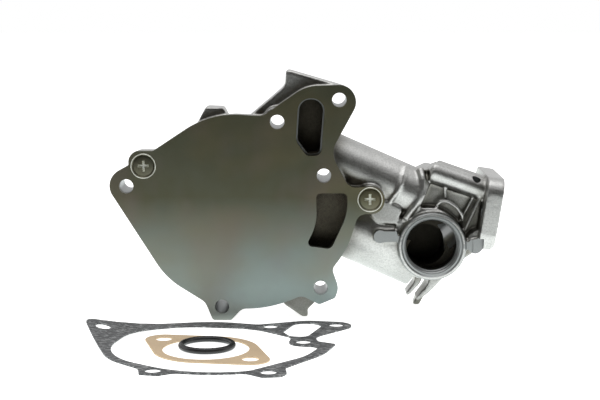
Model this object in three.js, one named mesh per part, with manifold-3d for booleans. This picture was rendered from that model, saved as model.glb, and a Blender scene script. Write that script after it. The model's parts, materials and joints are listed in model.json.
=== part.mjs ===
// An automotive water pump with the three loose seals that are fitted with it.
// Millimetres. The origin is where the pump shaft's axis meets the back plate's outer face.
// +X points along the hose arm, +Y from the plate to the pulley hub, +Z up.
import * as THREE from 'three';
import { mergeVertices } from 'three/addons/utils/BufferGeometryUtils.js';
import Module from 'manifold-3d';

const wasm = await Module();
wasm.setup();

// ---------------------------------------------------------------- driving dimensions
const FLOOR_Z = -69.5;          // what the pump and the loose seals stand on
const PLATE_T = 4;              // back plate thickness
const PAPER_T = 0.5;            // gasket between plate and casting
const CASE_Y = PLATE_T + PAPER_T;
const CHORD = 12;               // longest straight step on a large arc
const SIDES = 20;
const SMALL_SIDES = 12;
const TURNED_SIDES = 24;
const SLIVER = 0.03;            // detail smaller than this is merged away

// Corners are [x, z, fillet radius], clockwise seen from the plate side.
const PLATE_OUTLINE = [
  [-82.5, 15, 10.2], [-67, 23.6, 0.8], [-67, 32, 6.4], [-52.5, 32, 3], [-18.5, 54.5, 54],
  [12, 52.5, 6], [37.5, 70, 24], [74, 71.5, 10], [52, 31, 12.6], [63, 10, 7],
  [84, 11.5, 8], [84, -5.5, 8], [68.5, -5.5, 6], [62, -27, 60], [53, -38.5, 5],
  [57, -50, 8], [55, -56, 2.5], [45.5, -60, 2.5], [35, -54.5, 6], [16.5, -62.5, 70],
  [-0.5, -62.5, 6], [-7, FLOOR_Z, 2], [-18, FLOOR_Z, 2], [-22.5, -58.5, 8], [-45.5, -44, 46],
];
// The volute mouth, which the fibre gasket also leaves open.
const MOUTH_OUTLINE = [
  [-54, 36, 40], [12, 43, 34], [39, 27, 8], [41, 9, 8], [63.5, 10.5, 5],
  [62.5, -12, 40], [36, -50, 12], [9, -65, 55], [-52, -38, 44],
];
// The same opening in the fibre gasket leaves a wider bar beside the curved slot.
const FIBRE_MOUTH_OUTLINE = [...MOUTH_OUTLINE.slice(0, 4), [60, 9.5, 5], [57, -14, 40], ...MOUTH_OUTLINE.slice(6)];
const TOP_SLOT = [[33, 63, 7.5], [49, 63, 7.5], [46.5, 29.5, 4], [38, 29, 4], [31.5, 38, 6]];
const CURVED_SLOT = [
  [43.5, 7, 3], [62, 7, 3], [62, -5.5, 30], [52.5, -26.5, 4], [37.5, -24.5, 2.5], [44, -11.5, 30],
];
const BOLT_R = 4.25;            // clearance for M8
const BOLTS = {
  left: [-68.5, 11.1], bottom: [-12.5, -61.2], lowerRight: [46.3, -49.9],
  topMiddle: [20.6, 49.1], middleRight: [48.1, 17.4], topRight: [57, 62],
};
const SCREWS = { left: [-58.3, 23.1], right: [75.4, 3.2] };
const SCREW_HEAD_R = 6;
const SCREW_SHANK_R = 2.5;
const SINK_R = 7.15;            // countersink at the plate's face

// Rotating parts, all on the shaft's axis
const SHAFT_R = 6;
const JOURNAL_R = 8;
const RACE_R = 14.98;
const RACE_Y = [46.2, 84.8];
const BALL_R = 3.1;
const BALL_ROW_Y = [54, 77];
const BALLS_PER_ROW = 7;
const TRACK_R = 10.17;          // radius of the ball centres
const IMPELLER_R = 37;
const VANES = 6;
const HUB_R = 35;
const HUB_Y = [90, 96];
const STUD_R = 3.98;
const STUD_CIRCLE_R = 28;
const STUDS = 4;

// Hose arm, seen from the plate side: two parallel ducts sloping down to the right
const ARM_SLOPE = THREE.MathUtils.degToRad(-23.7);
const UPPER_DUCT = { offset: 44.5, radius: 15.5, bore: 10.5, y: 24 };
const LOWER_DUCT = { offset: 12, radius: 21, bore: 15.5, y: 27 };
const NECK = { x: 113, z: -26, radius: 20.4, face: 17.4, bore: 15.6, y: 5 };
const FLANGE = { x: 147.2, y: 33, z: -6.5, tilt: THREE.MathUtils.degToRad(-9), thickness: 10 };

// Loose seals on the floor
const FIBRE_T = 0.9;
const FIBRE_PLACE = { x: -15, y: -62.5, turn: THREE.MathUtils.degToRad(-14) };
const CARD_T = 0.8;
const CARD = { x: -17.5, y: -72.5, turn: THREE.MathUtils.degToRad(-41.9), hole: 23.8, ring: 29, ear: 33.7 };
const RING = { x: -17.2, y: -68, radius: 14.2, section: 1.7 };

// ---------------------------------------------------------------- materials
const paint = (color, roughness, metalness) => new THREE.MeshStandardMaterial({ color, roughness, metalness });
const CAST = paint(0xa9aaa8, 0.5, 0.9);
const ZINC = paint(0x7d8576, 0.35, 0.9);
const STEEL = paint(0xb9bbbd, 0.3, 1);
const BLACK_STEEL = paint(0x55585a, 0.4, 0.9);
const FIBRE = paint(0x55585a, 0.85, 0);
const CARD_STOCK = paint(0xd3b083, 0.8, 0);
const RUBBER = paint(0x111111, 0.5, 0);
const CARBON = paint(0x2c2c2e, 0.5, 0.1);
const CERAMIC = paint(0xe9e4d8, 0.3, 0);
const BRASS = paint(0xb08d4f, 0.35, 1);

// ---------------------------------------------------------------- solids
// A closed geometry as a solid, turned inside out first where its faces point inwards.
function solid(geometry) {
  geometry.deleteAttribute('normal');
  geometry.deleteAttribute('uv');
  const merged = mergeVertices(geometry, 1e-4);
  const positions = merged.attributes.position.array;
  const triangles = new Uint32Array(merged.index.array);
  const corner = (k) => new THREE.Vector3().fromArray(positions, 3 * triangles[k]);
  let volume = 0;
  for (let k = 0; k < triangles.length; k += 3) {
    volume += corner(k).dot(corner(k + 1).cross(corner(k + 2)));
  }
  if (volume < 0) {
    for (let k = 0; k < triangles.length; k += 3) {
      [triangles[k], triangles[k + 1]] = [triangles[k + 1], triangles[k]];
    }
  }
  const mesh = new wasm.Mesh({ numProp: 3, vertProperties: new Float32Array(positions), triVerts: triangles });
  return new wasm.Manifold(mesh);
}

const join = (...solids) => solids.reduce((whole, next) => whole.add(next));
const cut = (first, ...tools) => tools.reduce((left, tool) => left.subtract(tool), first);

function named(name, piece, material) {
  const { vertProperties, triVerts } = piece.simplify(SLIVER).getMesh();
  const geometry = new THREE.BufferGeometry();
  geometry.setAttribute('position', new THREE.BufferAttribute(new Float32Array(vertProperties), 3));
  geometry.setIndex(new THREE.BufferAttribute(new Uint32Array(triVerts), 1));
  geometry.computeVertexNormals();
  const mesh = new THREE.Mesh(geometry, material);
  mesh.name = name;
  return mesh;
}

// Points round an outline whose corners are rounded by tangent arcs.
function rounded(corners) {
  const count = corners.length;
  return corners.flatMap(([x, z, radius], i) => {
    const corner = new THREE.Vector2(x, z);
    if (radius === 0) return [corner];
    const toLast = new THREE.Vector2(...corners[(i + count - 1) % count]).sub(corner).normalize();
    const toNext = new THREE.Vector2(...corners[(i + 1) % count]).sub(corner).normalize();
    const halfAngle = Math.acos(toLast.dot(toNext)) / 2;
    const bisector = toLast.clone().add(toNext).normalize();
    const centre = bisector.multiplyScalar(radius / Math.sin(halfAngle)).add(corner);
    const tangent = radius / Math.tan(halfAngle);
    const start = toLast.multiplyScalar(tangent).add(corner).sub(centre);
    const end = toNext.multiplyScalar(tangent).add(corner).sub(centre);
    const turn = Math.atan2(start.cross(end), start.dot(end));
    const steps = Math.ceil(Math.abs(turn) * Math.max(radius / CHORD, 1.25));
    const axis = new THREE.Vector2();
    return Array.from({ length: steps + 1 }, (_, k) =>
      start.clone().rotateAround(axis, turn * k / steps).add(centre));
  });
}

// The same corners drawn in by a distance; a negative one draws them out.
function inset(corners, distance) {
  const count = corners.length;
  return corners.map(([x, z, radius], i) => {
    const corner = new THREE.Vector2(x, z);
    const arrive = new THREE.Vector2(...corners[(i + count - 1) % count]).sub(corner).negate().normalize();
    const leave = new THREE.Vector2(...corners[(i + 1) % count]).sub(corner).normalize();
    const inward = new THREE.Vector2(arrive.y + leave.y, -arrive.x - leave.x);
    corner.addScaledVector(inward, distance / (1 + arrive.dot(leave)));
    const shrink = arrive.cross(leave) < 0 ? distance : -distance;
    return [corner.x, corner.y, Math.max(0.3, radius - shrink)];
  });
}

// A prism along +Y from an outline in the X-Z plane.
function prism(corners, y0, y1) {
  const shape = new THREE.Shape(rounded(corners));
  const geometry = new THREE.ExtrudeGeometry(shape, { depth: y1 - y0, bevelEnabled: false });
  return solid(geometry.rotateX(Math.PI / 2).translate(0, y1, 0));
}

function rodY(x, z, radius, y0, y1, endRadius = radius, sides = SIDES) {
  const geometry = new THREE.CylinderGeometry(endRadius, radius, y1 - y0, sides);
  return solid(geometry.translate(x, (y0 + y1) / 2, z));
}

function rod(from, to, radius, endRadius = radius, sides = SIDES) {
  const start = new THREE.Vector3(...from);
  const axis = new THREE.Vector3(...to).sub(start);
  const geometry = new THREE.CylinderGeometry(endRadius, radius, axis.length(), sides);
  const turn = new THREE.Quaternion().setFromUnitVectors(new THREE.Vector3(0, 1, 0), axis.clone().normalize());
  geometry.applyQuaternion(turn);
  return solid(geometry.translate(...start.addScaledVector(axis, 0.5)));
}

// A body of revolution about the shaft's axis from a closed [radius, y] profile.
function turned(profile, sides = TURNED_SIDES) {
  const points = [...profile, profile[0]].map(([radius, y]) => new THREE.Vector2(radius, y));
  return solid(new THREE.LatheGeometry(points, sides));
}

const ring = (inner, outer, y0, y1, sides = TURNED_SIDES) =>
  turned([[inner, y0], [outer, y0], [outer, y1], [inner, y1]], sides);

function block(sizeX, sizeY, sizeZ, x, y, z) {
  return solid(new THREE.BoxGeometry(sizeX, sizeY, sizeZ).translate(x, y, z));
}

const aboutShaft = (piece, angle) => piece.rotate([0, THREE.MathUtils.radToDeg(angle), 0]);
const around = (count, make) => Array.from({ length: count }, (_, i) => make(2 * Math.PI * i / count, i));

// A point on the hose arm: distance along it, height above its line through the shaft, depth.
function onArm(along, offset, y) {
  const x = along * Math.cos(ARM_SLOPE) - offset * Math.sin(ARM_SLOPE);
  const z = along * Math.sin(ARM_SLOPE) + offset * Math.cos(ARM_SLOPE);
  return [x, y, z];
}

// ---------------------------------------------------------------- back plate and its gaskets
const holes = (radius, y0, y1) =>
  Object.values(BOLTS).map(([x, z]) => rodY(x, z, radius, y0, y1, radius, SMALL_SIDES));

function makePlate() {
  const sinks = Object.values(SCREWS).flatMap(([x, z]) => [
    rodY(x, z, SINK_R + 0.5, -0.5, 3.9, 3.3), rodY(x, z, 3.3, -1, PLATE_T + 1)]);
  return cut(prism(PLATE_OUTLINE, 0, PLATE_T), ...holes(BOLT_R, -1, PLATE_T + 1), ...sinks,
    prism(TOP_SLOT, -1, PLATE_T + 1), prism(CURVED_SLOT, -1, PLATE_T + 1));
}

function makePlateGasket() {
  const [y0, y1] = [PLATE_T - 1, CASE_Y + 1];
  const screwHoles = Object.values(SCREWS).map(([x, z]) => rodY(x, z, 3.3, y0, y1, 3.3, SMALL_SIDES));
  return cut(prism(inset(PLATE_OUTLINE, 0.8), PLATE_T, CASE_Y), ...holes(BOLT_R, y0, y1), ...screwHoles,
    prism(inset(TOP_SLOT, -1.2), y0, y1), prism(MOUTH_OUTLINE, y0, y1));
}

// Countersunk screw with a cross recess, head at the plate's outer face
function makeScrew([x, z]) {
  const head = rodY(x, z, SCREW_HEAD_R, 0.9, 3.9, 2.9);
  const shank = rodY(x, z, SCREW_SHANK_R, 3.5, 17, SCREW_SHANK_R, SMALL_SIDES);
  const recess = join(block(5.6, 3, 1.3, x, 1.2, z), block(1.3, 3, 5.6, x, 1.2, z));
  return cut(join(head, shank), recess);
}

// ---------------------------------------------------------------- casting
// Long boss at the bottom bolt, with a flat foot under it
function bottomBoss() {
  const [x, z] = BOLTS.bottom;
  return join(rodY(x, z, 8.2, CASE_Y, 56), block(9, 56 - CASE_Y, 12, x, (56 + CASE_Y) / 2, FLOOR_Z + 6));
}

function voluteBody() {
  const rim = prism(inset(PLATE_OUTLINE, 0.8), CASE_Y, 22);
  const back = prism(inset(PLATE_OUTLINE, 4.5), 21, 27);
  const dome = rodY(-2, -3, 50, 26, 34, 36);
  const bosses = Object.values(BOLTS).map(([x, z]) => rodY(x, z, 8.6, CASE_Y, 28, 8.2, 16));
  return join(rim, back, dome, ...bosses, bottomBoss());
}

// Bearing tower with six webs down to the back of the volute
function tower() {
  const web = new THREE.ExtrudeGeometry(
    new THREE.Shape([[15, 26], [44, 26], [42, 33], [24, 76], [15, 76]].map(([r, y]) => new THREE.Vector2(r, y))),
    { depth: 5, bevelEnabled: false }).translate(0, 0, -2.5);
  const webs = around(6, (angle) => aboutShaft(solid(web.clone()), angle + Math.PI / 6));
  return join(rodY(0, 0, 34, 25, 47, 32), rodY(0, 0, 21.5, 40, 88, 20.5, TURNED_SIDES), ...webs);
}

// Strut pad and small lugs that stand out behind the plate's edge
function outerLugs() {
  return join(
    prism([[2, 50, 2], [17.5, 63, 6], [25, 69.5, 6], [25.5, 79.4, 2], [61, 69, 4], [60, 52, 4], [30, 40, 4]], 13, 29),
    prism([[-28, 46, 1], [-22, 57, 3], [-11.5, 56.6, 2], [-9, 52, 2], [-9, 42, 1]], 12, 30),
    prism([[22, -56, 1], [24.5, -62, 1], [35.5, FLOOR_Z, 0.8], [39, FLOOR_Z, 0.8], [38.5, -65, 1.5],
      [43.5, -60, 1], [42, -48, 1], [20, -48, 1]], 9, 24));
}

function hoseArm() {
  const upper = rod(onArm(34, UPPER_DUCT.offset, UPPER_DUCT.y), onArm(100, UPPER_DUCT.offset, UPPER_DUCT.y), UPPER_DUCT.radius);
  const lower = rod(onArm(24, LOWER_DUCT.offset, LOWER_DUCT.y), onArm(112, LOWER_DUCT.offset, LOWER_DUCT.y), LOWER_DUCT.radius);
  const between = prism([
    [62, 22, 2], [96, 8, 2], [112, -26, 2], [100, -36, 2], [66, -22, 2], [56, -6, 2]], 14, 40);
  const screwBoss = rodY(...SCREWS.right, 8, CASE_Y, 20, 9, 16);
  const web = prism([[72, -2, 2], [83, 2, 2], [96, -3.5, 3], [91.5, -13.5, 3], [80, -12, 2]], 9, 24);
  return join(upper, lower, between, screwBoss, web);
}

// Block at the arm's end that carries the socket neck and the outlet flange
function endBlock() {
  const { x, z, radius, y } = NECK;
  const core = prism([[100, 14, 3], [112, 20, 4], [147, 8, 2], [147, -30, 8], [128, -46, 8], [96, -46, 8]], 17, 50);
  const neck = rodY(x, z, radius, y, 44, radius + 1.5, 32);
  const topBoss = rod([115.5, 13, 17.5], [150, 13, 6.2], 7);
  const rearBoss = rod([115.5, 54, 8], [150, 54, 0], 7);
  const pads = [rodY(81.8, -19.8, 3.8, 6, 30, 3.8, 12), rodY(138.6, -25.7, 4.2, 5.5, 30, 4.2, 12)];
  const padTab = block(14, 20, 6, 90, 16, -19.8);
  const foot = prism([[108, -42, 3], [130, -34, 4], [126, -51, 10], [120.5, -60.5, 10], [112.5, FLOOR_Z, 1],
    [104.5, FLOOR_Z, 1], [107, -65, 3], [115.5, -55, 6]], 30, 52);
  const fin = prism([[102, -40, 2], [111, -44, 2], [108.8, -53.5, 6], [100.8, -62, 0.8], [98.6, -60.2, 0.8],
    [104.5, -52.5, 6]], 32, 48);
  const padWeb = prism([[138, -17, 2], [148.5, -14, 2], [147.5, -22, 4], [141, -29.5, 3], [134.5, -29.5, 2],
    [134.4, -20, 2]], 7, 30);
  return join(core, neck, topBoss, rearBoss, ...pads, padTab, foot, fin, padWeb);
}

// Two-bolt flange with round corners across the end of the block, its face tilted a little downwards
function tilted(piece) {
  return piece.rotate([0, THREE.MathUtils.radToDeg(-FLANGE.tilt), 0]).translate([FLANGE.x, FLANGE.y, FLANGE.z]);
}

function outletFlange() {
  const plate = prism([[-33.5, 22.4, 6], [33.5, 22.4, 10], [33.5, -22.4, 10], [-12, -22.4, 12], [-33.5, -8, 8]],
    -FLANGE.thickness / 2, FLANGE.thickness / 2);
  return tilted(plate.rotate([0, 0, -90]));
}

function flangeHoles() {
  const reach = FLANGE.thickness;
  const bolts = [-24, 24].map((y) => rod([-reach, y, 0], [reach, y, 0], 3.4, 3.4, SMALL_SIDES));
  return [tilted(rod([-44, 0, 0], [reach, 0, 0], 13.5)), tilted(rod([0, 0, 0], [reach, 0, 0], 16)), ...bolts.map(tilted)];
}

function waterways() {
  const sealBoss = rodY(0, 0, 19, 28, 44);
  const eye = cut(rodY(0, 0, 27, 20, 40), sealBoss);
  const { x, z, bore, face } = NECK;
  return [
    prism(MOUTH_OUTLINE, CASE_Y - 1, 21), eye,
    prism(inset(TOP_SLOT, -0.6), CASE_Y - 1, 22), rod([38, 14, 42], [14, 13, 22], 6.5, 6.5, 16),
    rod([12, 32, 4], onArm(66, LOWER_DUCT.offset, 32), 8.5, 8.5, 16),
    rod(onArm(64, LOWER_DUCT.offset, 31.5), onArm(104, LOWER_DUCT.offset, 27), 8.5, LOWER_DUCT.bore),
    rod(onArm(46, UPPER_DUCT.offset, 24), onArm(108, 40, 30), 9.5, UPPER_DUCT.bore, 16),
    rodY(x, z, bore, 0, 42, bore, 32), rodY(x, z, face, 0, NECK.y + 4, face, 32),
  ];
}

function shaftBores() {
  return [
    rodY(0, 0, 15.02, 20, 39, 15.02, TURNED_SIDES), rodY(0, 0, 9.5, 38, 42), rodY(0, 0, 13, 41, 46.1),
    rodY(0, 0, 15, 46, 90, 15, TURNED_SIDES), rod([0, 43.2, 0], [0, 43.2, -42], 2.1, 2.1, 8),
  ];
}

function makeBody() {
  const blind = Object.values(SCREWS).map(([x, z]) => rodY(x, z, SCREW_SHANK_R + 0.1, 0, 18, SCREW_SHANK_R + 0.1, SMALL_SIDES));
  return cut(join(voluteBody(), tower(), outerLugs(), hoseArm(), endBlock(), outletFlange()),
    ...waterways(), ...shaftBores(), ...flangeHoles(), ...holes(BOLT_R, 0, 60), ...blind);
}

// ---------------------------------------------------------------- rotor
function makeImpeller() {
  const vaneTurn = THREE.MathUtils.degToRad(52);
  const edge = (start, shift) => Array.from({ length: 5 }, (_, k) => {
    const radius = THREE.MathUtils.lerp(start, IMPELLER_R, k / 4);
    const angle = vaneTurn * k / 4 + shift / radius;
    return [radius * Math.cos(angle), radius * Math.sin(angle), 0];
  });
  const vane = prism([...edge(12, 1.2), ...edge(12, -1.2).reverse()], 8, 19);
  const vanes = around(VANES, (angle) => aboutShaft(vane, angle));
  const disc = turned([[SHAFT_R + 0.02, 6.5], [IMPELLER_R, 6.5], [IMPELLER_R, 8.6], [12, 9.6], [10.5, 19.6], [SHAFT_R + 0.02, 19.6]]);
  return cut(join(disc, ...vanes), ring(0, SHAFT_R + 0.02, 0, 30));
}

// Arc of a ball groove in a [radius, y] profile; a positive side bulges outwards
function groove(rowY, depthRadius, side) {
  const grooveR = BALL_R + 0.25;
  const half = Math.acos((depthRadius - TRACK_R) * side / grooveR);
  return Array.from({ length: 5 }, (_, k) => {
    const angle = THREE.MathUtils.lerp(-half, half, k / 4);
    return [TRACK_R + side * grooveR * Math.cos(angle), rowY + grooveR * Math.sin(angle)];
  });
}

function makeShaft() {
  return turned([
    [0, 5.6], [5.4, 5.6], [SHAFT_R, 6.2], [SHAFT_R, 45.4], [JOURNAL_R, 46.2],
    ...BALL_ROW_Y.flatMap((y) => groove(y, JOURNAL_R, -1)),
    [JOURNAL_R, 97], [7.4, 97.6], [0, 97.6],
  ].filter(([radius], i, all) => radius > 0 || i === 0 || i === all.length - 1));
}

function makeRace() {
  const inner = 12;
  return turned([[RACE_R, RACE_Y[0]], [RACE_R, RACE_Y[1]], [inner, RACE_Y[1]],
    ...BALL_ROW_Y.toReversed().flatMap((y) => groove(y, inner, 1).reverse()), [inner, RACE_Y[0]]]);
}

// Crown cage: a ring beside the balls with a finger between each pair
function makeCage(rowY) {
  const fingers = around(BALLS_PER_ROW, (angle) =>
    aboutShaft(block(1.7, 7.4, 1.4, 10, rowY + 1, 0), angle + Math.PI / BALLS_PER_ROW));
  return join(ring(9.1, 10.9, rowY + 3.4, rowY + 4.8), ...fingers);
}

function ballMeshes() {
  return BALL_ROW_Y.flatMap((rowY, row) => around(BALLS_PER_ROW, (angle, i) => {
    const ball = solid(new THREE.IcosahedronGeometry(BALL_R, 1).translate(TRACK_R, rowY, 0));
    return named(`bearing_ball_${row + 1}_${i + 1}`, aboutShaft(ball, angle), STEEL);
  }));
}

function makeHub() {
  const disc = turned([
    [JOURNAL_R + 0.02, 86], [13, 86], [13.5, 89], [HUB_R, HUB_Y[0]], [HUB_R, HUB_Y[1]],
    [17, HUB_Y[1]], [16.5, 99], [JOURNAL_R + 0.02, 99]]);
  const studHoles = around(STUDS, (angle) =>
    aboutShaft(rodY(STUD_CIRCLE_R, 0, STUD_R + 0.02, 80, 100, STUD_R + 0.02, SMALL_SIDES), angle + Math.PI / 4));
  return cut(disc, ...studHoles);
}

function makeStud(angle) {
  const stud = join(
    rodY(STUD_CIRCLE_R, 0, STUD_R, HUB_Y[0] - 0.3, 116, STUD_R, SMALL_SIDES),
    rodY(STUD_CIRCLE_R, 0, STUD_R, 116, 117.4, STUD_R - 0.9, SMALL_SIDES));
  return aboutShaft(stud, angle + Math.PI / 4);
}

// ---------------------------------------------------------------- mechanical seal
const makeSeat = () => ring(7.2, 11.6, 22, 25.6, 24);
const makeSeatBoot = () => turned(
  [[SHAFT_R + 0.05, 19.9], [13.6, 19.9], [13.6, 25], [11.9, 25], [11.9, 21.7], [SHAFT_R + 0.05, 21.7]], 24);
const makeCarbon = () => turned(
  [[7.3, 25.75], [10.2, 25.75], [10.2, 27.5], [11, 27.5], [11, 30], [7.3, 30]], 24);
const makeBellows = () => turned([
  [7.4, 30.3], [10.6, 30.3], [9, 32], [10.6, 33.8], [9, 35.4], [10.6, 37.6],
  [7.4, 37.6], [7.4, 36.4], [8, 33.8]], 24);
const makeCup = () => turned([
  [15, 27.3], [17.8, 27.3], [17.8, 28], [15, 28], [15, 38.8], [9.6, 38.8], [9.6, 38], [14.2, 38],
  [14.2, 27.3]]);

class Helix extends THREE.Curve {
  constructor(radius, y0, y1, turns) {
    super();
    Object.assign(this, { radius, y0, y1, turns });
  }

  getPoint(t, target = new THREE.Vector3()) {
    const angle = 2 * Math.PI * this.turns * t;
    return target.set(
      this.radius * Math.cos(angle), THREE.MathUtils.lerp(this.y0, this.y1, t), this.radius * Math.sin(angle));
  }
}

function makeSpring() {
  const [wireR, turns] = [0.7, 4];
  const wire = new THREE.Shape().absarc(0, 0, wireR, 0, 2 * Math.PI);
  const extrudePath = new Helix(12.4, 29, 37, turns);
  return solid(new THREE.ExtrudeGeometry(wire, { extrudePath, steps: turns * 12, curveSegments: 2 }));
}

const makeSlinger = () => turned([
  [SHAFT_R + 0.05, 42], [8, 42], [11.4, 43.6], [11.4, 44.4], [8, 44.4], [SHAFT_R + 0.05, 44.4]], 24);

// ---------------------------------------------------------------- loose seals
// Lays an upright outline flat on the floor, its top away from the plate's front.
function laidFlat(piece, thickness, { x, y, turn }) {
  return piece.rotate([-90, 0, 0]).translate([0, 0, thickness])
    .rotate([0, 0, THREE.MathUtils.radToDeg(turn)]).translate([x, y, FLOOR_Z]);
}

function makeMountingGasket() {
  const lug = PLATE_OUTLINE.findIndex(([x]) => x === 63);
  const outline = [
    ...PLATE_OUTLINE.slice(0, lug), [56.5, 21, 1.5], [67.5, 17.5, 2], [66, -6, 50], ...PLATE_OUTLINE.slice(lug + 5)];
  const sheet = cut(prism(inset(outline, 0.8), 0, FIBRE_T), ...holes(BOLT_R + 0.2, -1, 2),
    prism(inset(TOP_SLOT, -0.8), -1, 2), prism(FIBRE_MOUTH_OUTLINE, -1, 2));
  return laidFlat(sheet, FIBRE_T, FIBRE_PLACE);
}

function makeOutletGasket() {
  const { ring: ringR, ear } = CARD;
  const lean = Math.acos((ringR - 10) / ear);
  const touch = (angle, centre, radius) => [centre + radius * Math.cos(angle), radius * Math.sin(angle), 0];
  const ears = [0, Math.PI].flatMap((facing) => {
    const side = Math.cos(facing) * ear;
    return [2, 1, 0, -1, -2].map((k) => touch(facing + k * lean / 2, side, 10.5));
  });
  const outer = [2, 1, 0, -1, -2];
  const top = outer.map((k) => touch(Math.PI / 2 + k * (Math.PI / 2 - lean) / 2, 0, ringR));
  const bottom = outer.map((k) => touch(-Math.PI / 2 + k * (Math.PI / 2 - lean) / 2, 0, ringR));
  const outline = [...ears.slice(0, 5), ...bottom, ...ears.slice(5), ...top];
  const boltHoles = [-ear, ear].map((x) => rodY(x, 0, 4.6, -1, 2, 4.6, SMALL_SIDES));
  const sheet = cut(prism(outline, 0, CARD_T), rodY(0, 0, CARD.hole, -1, 2, CARD.hole, 32), ...boltHoles);
  return laidFlat(sheet, CARD_T, CARD);
}

function makeORing() {
  const { radius, section, x, y } = RING;
  return solid(new THREE.TorusGeometry(radius, section, 8, 28).translate(x, y, FLOOR_Z + section));
}

// ---------------------------------------------------------------- assembly
const pump = new THREE.Group();
pump.add(
  named('pump_body', makeBody(), CAST),
  named('back_plate', makePlate(), ZINC),
  named('plate_gasket', makePlateGasket(), CARD_STOCK),
  named('plate_screw_left', makeScrew(SCREWS.left), ZINC),
  named('plate_screw_right', makeScrew(SCREWS.right), ZINC),
  named('impeller', makeImpeller(), BLACK_STEEL),
  named('pump_shaft', makeShaft(), STEEL),
  named('bearing_outer_race', makeRace(), STEEL),
  ...ballMeshes(),
  ...BALL_ROW_Y.map((rowY, i) => named(`bearing_cage_${i + 1}`, makeCage(rowY), BRASS)),
  named('bearing_seal_inner', ring(8.3, 11.9, 47, 48.4, 24), RUBBER),
  named('bearing_seal_outer', ring(8.3, 11.9, 83, 84.4, 24), RUBBER),
  named('slinger', makeSlinger(), RUBBER),
  named('seal_cup', makeCup(), BRASS),
  named('seal_spring', makeSpring(), STEEL),
  named('seal_bellows', makeBellows(), RUBBER),
  named('carbon_face', makeCarbon(), CARBON),
  named('ceramic_seat', makeSeat(), CERAMIC),
  named('seat_boot', makeSeatBoot(), RUBBER),
  named('hub_flange', makeHub(), BLACK_STEEL),
  ...around(STUDS, (angle, i) => named(`hub_stud_${i + 1}`, makeStud(angle), STEEL)),
  named('mounting_gasket', makeMountingGasket(), FIBRE),
  named('outlet_gasket', makeOutletGasket(), CARD_STOCK),
  named('o_ring', makeORing(), RUBBER),
);

export default pump;
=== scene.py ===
"""The looks of a car engine's water pump and its three loose seals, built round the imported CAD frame."""

import json
import math

import bmesh
import bpy
from bpy.props import FloatProperty, FloatVectorProperty, IntProperty, PointerProperty
from mathutils import Matrix, Vector


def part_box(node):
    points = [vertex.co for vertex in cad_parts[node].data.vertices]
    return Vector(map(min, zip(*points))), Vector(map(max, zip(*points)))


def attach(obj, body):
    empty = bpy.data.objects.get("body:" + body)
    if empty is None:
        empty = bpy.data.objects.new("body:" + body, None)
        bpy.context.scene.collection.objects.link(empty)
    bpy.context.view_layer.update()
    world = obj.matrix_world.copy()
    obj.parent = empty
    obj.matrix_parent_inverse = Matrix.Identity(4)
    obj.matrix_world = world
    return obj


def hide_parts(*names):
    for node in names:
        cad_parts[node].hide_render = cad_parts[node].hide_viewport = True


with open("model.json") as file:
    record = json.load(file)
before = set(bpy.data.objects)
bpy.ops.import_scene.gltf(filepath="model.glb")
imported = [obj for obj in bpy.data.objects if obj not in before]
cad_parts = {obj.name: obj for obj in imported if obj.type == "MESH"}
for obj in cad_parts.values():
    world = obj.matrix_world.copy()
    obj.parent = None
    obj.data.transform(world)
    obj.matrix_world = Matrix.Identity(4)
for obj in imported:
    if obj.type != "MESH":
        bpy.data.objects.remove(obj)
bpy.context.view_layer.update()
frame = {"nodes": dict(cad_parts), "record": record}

bl_info = {
    "name": "Water Pump Looks",
    "version": (1, 0, 0),
    "blender": (4, 5, 0),
    "location": "View3D > Sidebar > Pump",
    "description": "Builds the fine surfaces, finishes and studio of a water pump",
    "category": "Object",
}

MM = 0.001


def low_high(node):
    """A CAD node's lowest and highest corners, in millimetres."""
    return tuple(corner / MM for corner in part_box(node))


# ------------------------------------------------------------------ sizes, in millimetres
FLOOR_Z = low_high("mounting_gasket")[0].z
PLATE_T = low_high("back_plate")[1].y
CASE_Y = low_high("plate_gasket")[1].y
HUB_LOW, HUB_HIGH = low_high("hub_flange")

# Corners are x, z and fillet radius, clockwise seen from the plate side.
PLATE_OUTLINE = [
    (-82.5, 15, 10.2), (-67, 23.6, 0.8), (-67, 32, 6.4), (-52.5, 32, 3), (-18.5, 54.5, 54),
    (12, 52.5, 6), (37.5, 70, 24), (74, 71.5, 10), (52, 31, 12.6), (63, 10, 7),
    (84, 11.5, 8), (84, -5.5, 8), (68.5, -5.5, 6), (62, -27, 60), (53, -38.5, 5),
    (57, -50, 8), (55, -56, 2.5), (45.5, -60, 2.5), (35, -54.5, 6), (16.5, -62.5, 70),
    (-0.5, -62.5, 6), (-7, FLOOR_Z, 2), (-18, FLOOR_Z, 2), (-22.5, -58.5, 8), (-45.5, -44, 46),
]
MOUTH_OUTLINE = [
    (-54, 36, 40), (12, 43, 34), (39, 27, 8), (41, 9, 8), (63.5, 10.5, 5),
    (62.5, -12, 40), (36, -50, 12), (9, -65, 55), (-52, -38, 44),
]
FIBRE_MOUTH_OUTLINE = [*MOUTH_OUTLINE[:4], (60, 9.5, 5), (57, -14, 40), *MOUTH_OUTLINE[6:]]
TOP_SLOT = [(33, 63, 7.5), (49, 63, 7.5), (46.5, 29.5, 4), (38, 29, 4), (31.5, 38, 6)]
CURVED_SLOT = [
    (43.5, 7, 3), (62, 7, 3), (62, -5.5, 30), (52.5, -26.5, 4), (37.5, -24.5, 2.5), (44, -11.5, 30),
]
BOLT_R = 4.25
BOLTS = [(-68.5, 11.1), (-12.5, -61.2), (46.3, -49.9), (20.6, 49.1), (48.1, 17.4), (57, 62)]
BOTTOM_BOLT = BOLTS[1]
SCREWS = {"left": (-58.3, 23.1), "right": (75.4, 3.2)}
SINK_R = 7.15
SCREW_HEAD_R = 6
ARM_SLOPE = math.radians(-23.7)
UPPER_DUCT = {"offset": 44.5, "radius": 15.5, "bore": 10.5}
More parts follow.
